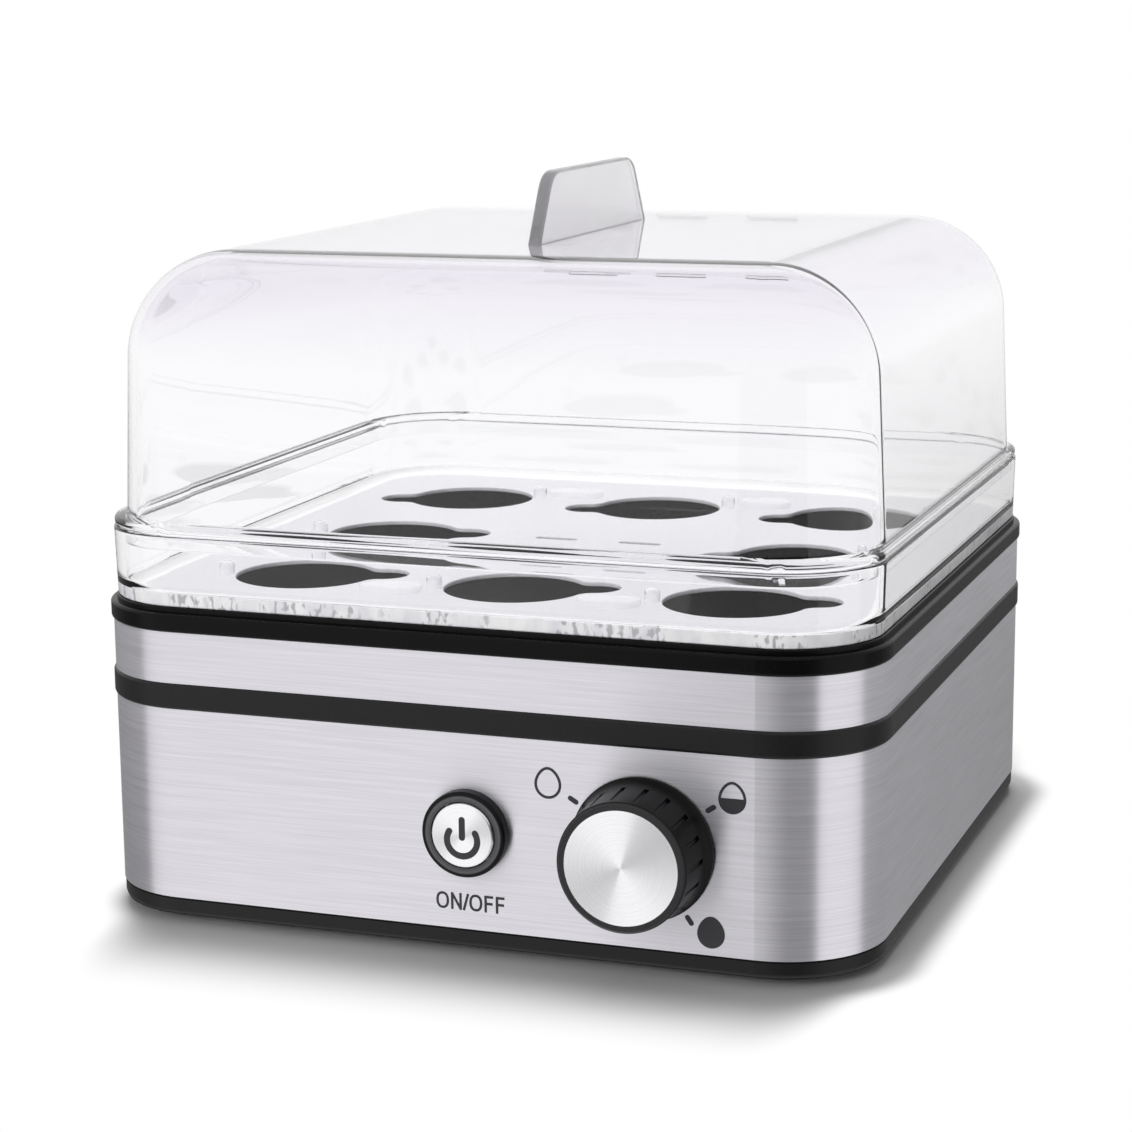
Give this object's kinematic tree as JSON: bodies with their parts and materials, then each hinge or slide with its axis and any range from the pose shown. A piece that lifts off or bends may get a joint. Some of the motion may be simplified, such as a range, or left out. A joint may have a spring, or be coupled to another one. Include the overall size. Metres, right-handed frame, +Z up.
{
  "type": "electric egg cooker",
  "caption": "Square steel-wrapped electric egg cooker with a rotary doneness knob, a push button, a clear lift-out egg tray and a clear domed lid with an upright grip.",
  "frame": {"origin": "on the table under the middle of the whole object, knob and cord gland included", "axes": "+Z up, -Y out of the front with the controls, +X to the right seen from the front"},
  "size_m": [0.1862, 0.2046, 0.1695],
  "materials": {
    "clear_plastic": "clear moulded plastic, polished",
    "smoke_plastic": "grey translucent moulded plastic",
    "steel": "horizontal brushed grain",
    "black_plastic": "satin moulded black",
    "pan_coat": "dark non-stick coating",
    "spun_aluminium": "spun face, radial highlights",
    "silver_plastic": "silver lacquer",
    "rubber": "matt",
    "cast_aluminium": "as cast",
    "element_sheath": "drawn",
    "board": "solder mask",
    "dark_component": "moulded",
    "pale_component": "moulded"
  },
  "bodies": {
    "base": {"lower_band": "steel", "upper_band": "steel", "top_ring": "black_plastic", "middle_ring": "black_plastic", "base_tray": "black_plastic", "button_bezel": "black_plastic", "panel_carrier": "black_plastic", "water_pan": "pan_coat", "rubber_feet": "rubber", "cord_gland": "rubber", "pan_gasket": "rubber", "heater_plate": "cast_aluminium", "heating_element": "element_sheath", "fuse_clip": "element_sheath", "base_screws": "element_sheath", "board_screws": "element_sheath", "control_board": "board", "power_board": "board", "potentiometer": "dark_component", "push_switch": "dark_component", "buzzer": "dark_component", "timer_chip": "dark_component", "thermostat": "dark_component", "thermal_fuse": "dark_component", "relay": "pale_component", "capacitor": "pale_component", "terminal_block": "pale_component"},
    "lid": {"lid": "clear_plastic", "lid_handle": "smoke_plastic"},
    "tray": {"egg_tray": "clear_plastic"},
    "knob": {"knob_body": "black_plastic", "knob_cap": "spun_aluminium", "knob_shaft": "element_sheath"},
    "button": {"button_cap": "silver_plastic", "switch_plunger": "dark_component"}
  },
  "joints": [
    {"name": "tray_lift", "type": "slide", "parent": "base", "child": "tray", "axis": [0, 0, 1], "range_m": [0, 0.12]},
    {"name": "lid_lift", "type": "slide", "parent": "tray", "child": "lid", "axis": [0, 0, 1], "range_m": [0, 0.12]},
    {"name": "knob_turn", "type": "hinge", "parent": "base", "child": "knob", "pos_m": [0.0439, -0.08715, 0.0288], "axis": [0, 1, 0], "range_deg": [0, 206]},
    {"name": "button_press", "type": "slide", "parent": "base", "child": "button", "axis": [0, 1, 0], "range_m": [0, 0.0015], "stiffness_N_per_m": 1200, "springref_m": -0.0005}
  ]
}
